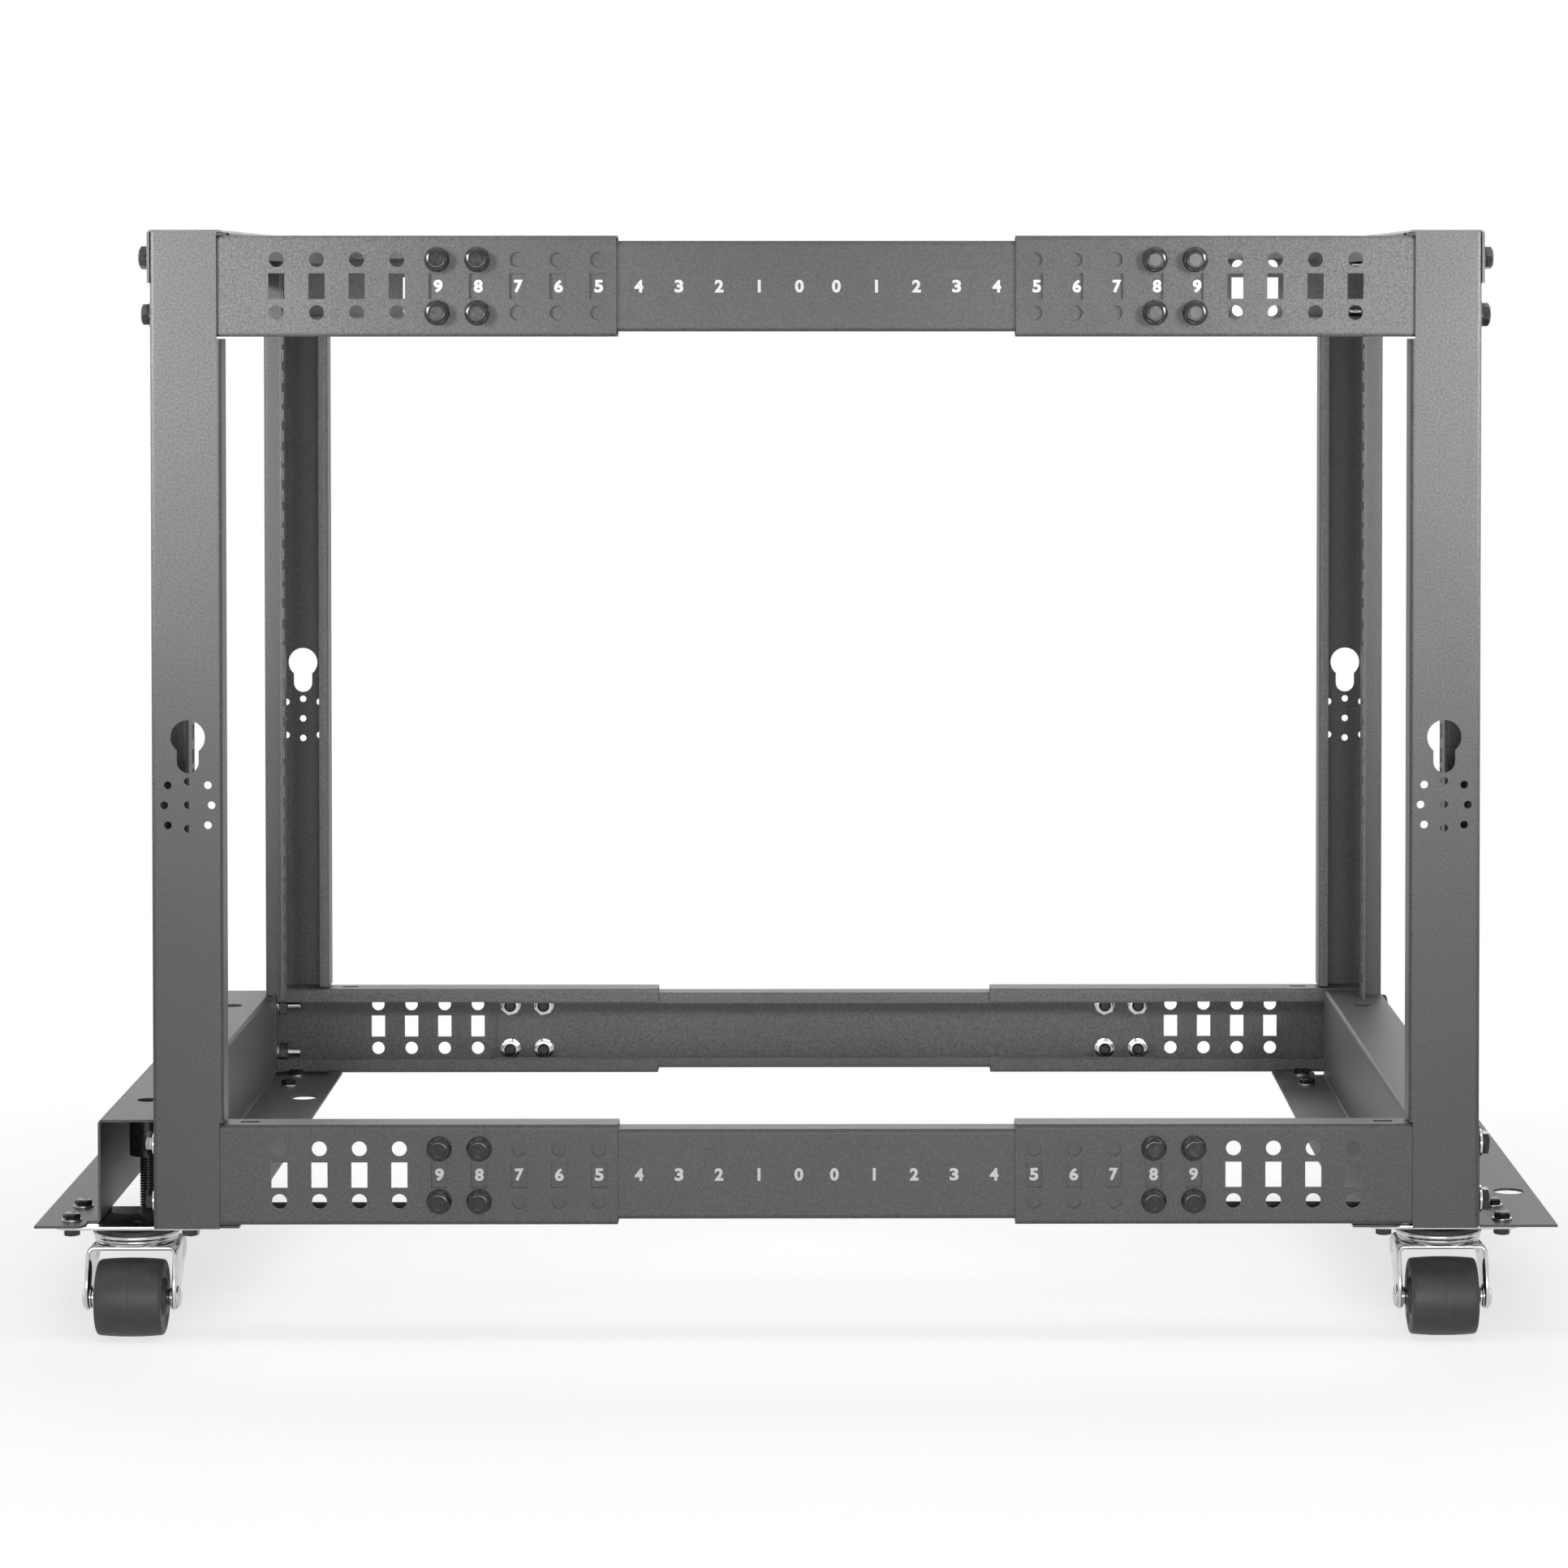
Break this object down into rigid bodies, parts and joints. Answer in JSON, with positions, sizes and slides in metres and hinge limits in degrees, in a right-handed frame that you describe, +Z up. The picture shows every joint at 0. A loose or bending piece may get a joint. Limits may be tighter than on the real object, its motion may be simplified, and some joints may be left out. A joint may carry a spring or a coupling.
{
  "type": "four post open frame rack",
  "caption": "Open frame equipment rack with four folded steel posts, telescoping depth rails, hat section base channels and swivel casters.",
  "frame": {"origin": "centre of the rack's footprint box, on the floor under the casters", "axes": "+X from the front towards the rear along the depth rails, +Y from the left side to the right side, +Z up"},
  "size_m": [0.9722, 0.6, 0.7092],
  "materials": {
    "powder_coat": "fine textured dark grey powder coat",
    "zinc": "bright zinc plate",
    "wheel_black": "matt black tread",
    "black_oxide": "black oxide"
  },
  "bodies": {
    "root": {"bottom_left_front_sleeve": "powder_coat", "bottom_left_inner_rail": "powder_coat", "bottom_left_rear_sleeve": "powder_coat", "bottom_right_front_sleeve": "powder_coat", "bottom_right_inner_rail": "powder_coat", "bottom_right_rear_sleeve": "powder_coat", "front_base_channel": "powder_coat", "front_left_caster_plate": "zinc", "front_left_leveller_boss": "black_oxide", "front_left_leveller_screw": "black_oxide", "front_left_post": "powder_coat", "front_right_caster_plate": "zinc", "front_right_leveller_boss": "black_oxide", "front_right_leveller_screw": "black_oxide", "front_right_post": "powder_coat", "front_top_cross_member": "powder_coat", "rear_base_channel": "powder_coat", "rear_left_caster_plate": "zinc", "rear_left_leveller_boss": "black_oxide", "rear_left_leveller_screw": "black_oxide", "rear_left_post": "powder_coat", "rear_right_caster_plate": "zinc", "rear_right_leveller_boss": "black_oxide", "rear_right_leveller_screw": "black_oxide", "rear_right_post": "powder_coat", "rear_top_cross_member": "powder_coat", "top_left_front_sleeve": "powder_coat", "top_left_inner_rail": "powder_coat", "top_left_rear_sleeve": "powder_coat", "top_right_front_sleeve": "powder_coat", "top_right_inner_rail": "powder_coat", "top_right_rear_sleeve": "powder_coat"},
    "front_left_swivel": {"front_left_caster_axle": "zinc", "front_left_caster_fork": "zinc"},
    "front_left_wheel": {"front_left_caster_wheel": "wheel_black"},
    "front_right_swivel": {"front_right_caster_axle": "zinc", "front_right_caster_fork": "zinc"},
    "front_right_wheel": {"front_right_caster_wheel": "wheel_black"},
    "rear_left_swivel": {"rear_left_caster_axle": "zinc", "rear_left_caster_fork": "zinc"},
    "rear_left_wheel": {"rear_left_caster_wheel": "wheel_black"},
    "rear_right_swivel": {"rear_right_caster_axle": "zinc", "rear_right_caster_fork": "zinc"},
    "rear_right_wheel": {"rear_right_caster_wheel": "wheel_black"}
  },
  "joints": [
    {"name": "front_left_swivel_turn", "type": "hinge", "parent": "root", "child": "front_left_swivel", "pos_m": [-0.4267, -0.251, 0.073], "axis": [0, 0, 1], "continuous": true},
    {"name": "front_left_wheel_spin", "type": "hinge", "parent": "front_left_swivel", "child": "front_left_wheel", "pos_m": [-0.4267, -0.271, 0.025], "axis": [1, 0, 0], "continuous": true},
    {"name": "front_right_swivel_turn", "type": "hinge", "parent": "root", "child": "front_right_swivel", "pos_m": [-0.4267, 0.251, 0.073], "axis": [0, 0, 1], "continuous": true},
    {"name": "front_right_wheel_spin", "type": "hinge", "parent": "front_right_swivel", "child": "front_right_wheel", "pos_m": [-0.4267, 0.231, 0.025], "axis": [1, 0, 0], "continuous": true},
    {"name": "rear_left_swivel_turn", "type": "hinge", "parent": "root", "child": "rear_left_swivel", "pos_m": [0.4147, -0.251, 0.073], "axis": [0, 0, 1], "continuous": true},
    {"name": "rear_left_wheel_spin", "type": "hinge", "parent": "rear_left_swivel", "child": "rear_left_wheel", "pos_m": [0.4147, -0.271, 0.025], "axis": [1, 0, 0], "continuous": true},
    {"name": "rear_right_swivel_turn", "type": "hinge", "parent": "root", "child": "rear_right_swivel", "pos_m": [0.4147, 0.251, 0.073], "axis": [0, 0, 1], "continuous": true},
    {"name": "rear_right_wheel_spin", "type": "hinge", "parent": "rear_right_swivel", "child": "rear_right_wheel", "pos_m": [0.4147, 0.231, 0.025], "axis": [1, 0, 0], "continuous": true}
  ]
}
